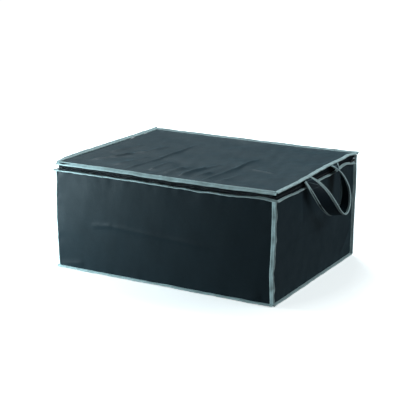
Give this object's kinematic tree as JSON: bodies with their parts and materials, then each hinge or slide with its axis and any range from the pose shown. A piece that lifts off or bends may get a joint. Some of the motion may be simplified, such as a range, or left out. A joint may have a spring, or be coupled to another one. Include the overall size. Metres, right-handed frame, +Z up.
{
  "type": "under bed storage box",
  "caption": "Low soft-sided storage box with card-stiffened fabric walls, bound seams, a zipped lid hinged at its rear seam and a webbing handle at each end.",
  "frame": {"origin": "centre of the footprint on the floor, at the underside of the base", "axes": "+X towards the right-hand handle, -Y towards the front, +Z up"},
  "size_m": [0.6624, 0.45, 0.25],
  "materials": {
    "outer_fabric": "slate non-woven, soft sheen",
    "seam_binding": "grey-green woven binding tape",
    "stiffener_board": "grey pressed card",
    "inner_lining": "dark non-woven",
    "zip_tape": "black woven zip tape",
    "zip_coil": "black nylon coil",
    "zip_metal": "nickel plated",
    "pull_tab": "black moulded",
    "handle_strap": "dark slate strap"
  },
  "bodies": {
    "box": {"front_panel": "outer_fabric", "front_board": "stiffener_board", "front_lining": "inner_lining", "back_panel": "outer_fabric", "back_board": "stiffener_board", "back_lining": "inner_lining", "left_panel": "outer_fabric", "left_board": "stiffener_board", "left_lining": "inner_lining", "right_panel": "outer_fabric", "right_board": "stiffener_board", "right_lining": "inner_lining", "base_panel": "outer_fabric", "base_board": "stiffener_board", "base_lining": "inner_lining", "front_base_binding": "seam_binding", "back_base_binding": "seam_binding", "left_base_binding": "seam_binding", "right_base_binding": "seam_binding", "front_rim_binding": "seam_binding", "left_rim_binding": "seam_binding", "right_rim_binding": "seam_binding", "front_left_corner_binding": "seam_binding", "front_right_corner_binding": "seam_binding", "back_left_corner_binding": "seam_binding", "back_right_corner_binding": "seam_binding", "hinge_binding": "seam_binding", "lower_zip_tape": "zip_tape", "lower_zip_coil": "zip_coil", "zip_end_stops": "zip_metal"},
    "lid": {"lid_panel": "outer_fabric", "lid_lining": "inner_lining", "front_lid_binding": "seam_binding", "left_lid_binding": "seam_binding", "right_lid_binding": "seam_binding", "upper_zip_tape": "zip_tape", "upper_zip_coil": "zip_coil"},
    "right_handle": {"right_handle_strap": "handle_strap", "right_handle_inner_edge_binding": "seam_binding", "right_handle_outer_edge_binding": "seam_binding"},
    "left_handle": {"left_handle_strap": "handle_strap", "left_handle_inner_edge_binding": "seam_binding", "left_handle_outer_edge_binding": "seam_binding"},
    "zip_slider": {"zip_slider": "zip_metal"},
    "pull_tab": {"pull_tab": "pull_tab"}
  },
  "joints": [
    {"name": "lid_hinge", "type": "hinge", "parent": "box", "child": "lid", "pos_m": [0, 0.22125, 0.2505], "axis": [-1, 0, 0], "range_deg": [0, 200]},
    {"name": "right_handle_swing", "type": "hinge", "parent": "lid", "child": "right_handle", "pos_m": [0.275, 0, 0.242], "axis": [0, -1, 0], "range_deg": [0, 105]},
    {"name": "left_handle_swing", "type": "hinge", "parent": "lid", "child": "left_handle", "pos_m": [-0.275, 0, 0.242], "axis": [0, 1, 0], "range_deg": [0, 105]},
    {"name": "zip_slider_travel", "type": "slide", "parent": "box", "child": "zip_slider", "axis": [0, -1, 0], "range_m": [0, 0.418]},
    {"name": "pull_tab_flip", "type": "hinge", "parent": "zip_slider", "child": "pull_tab", "pos_m": [0.2715, 0.2101, 0.2357], "axis": [0, 0, 1], "range_deg": [0, 150]}
  ]
}
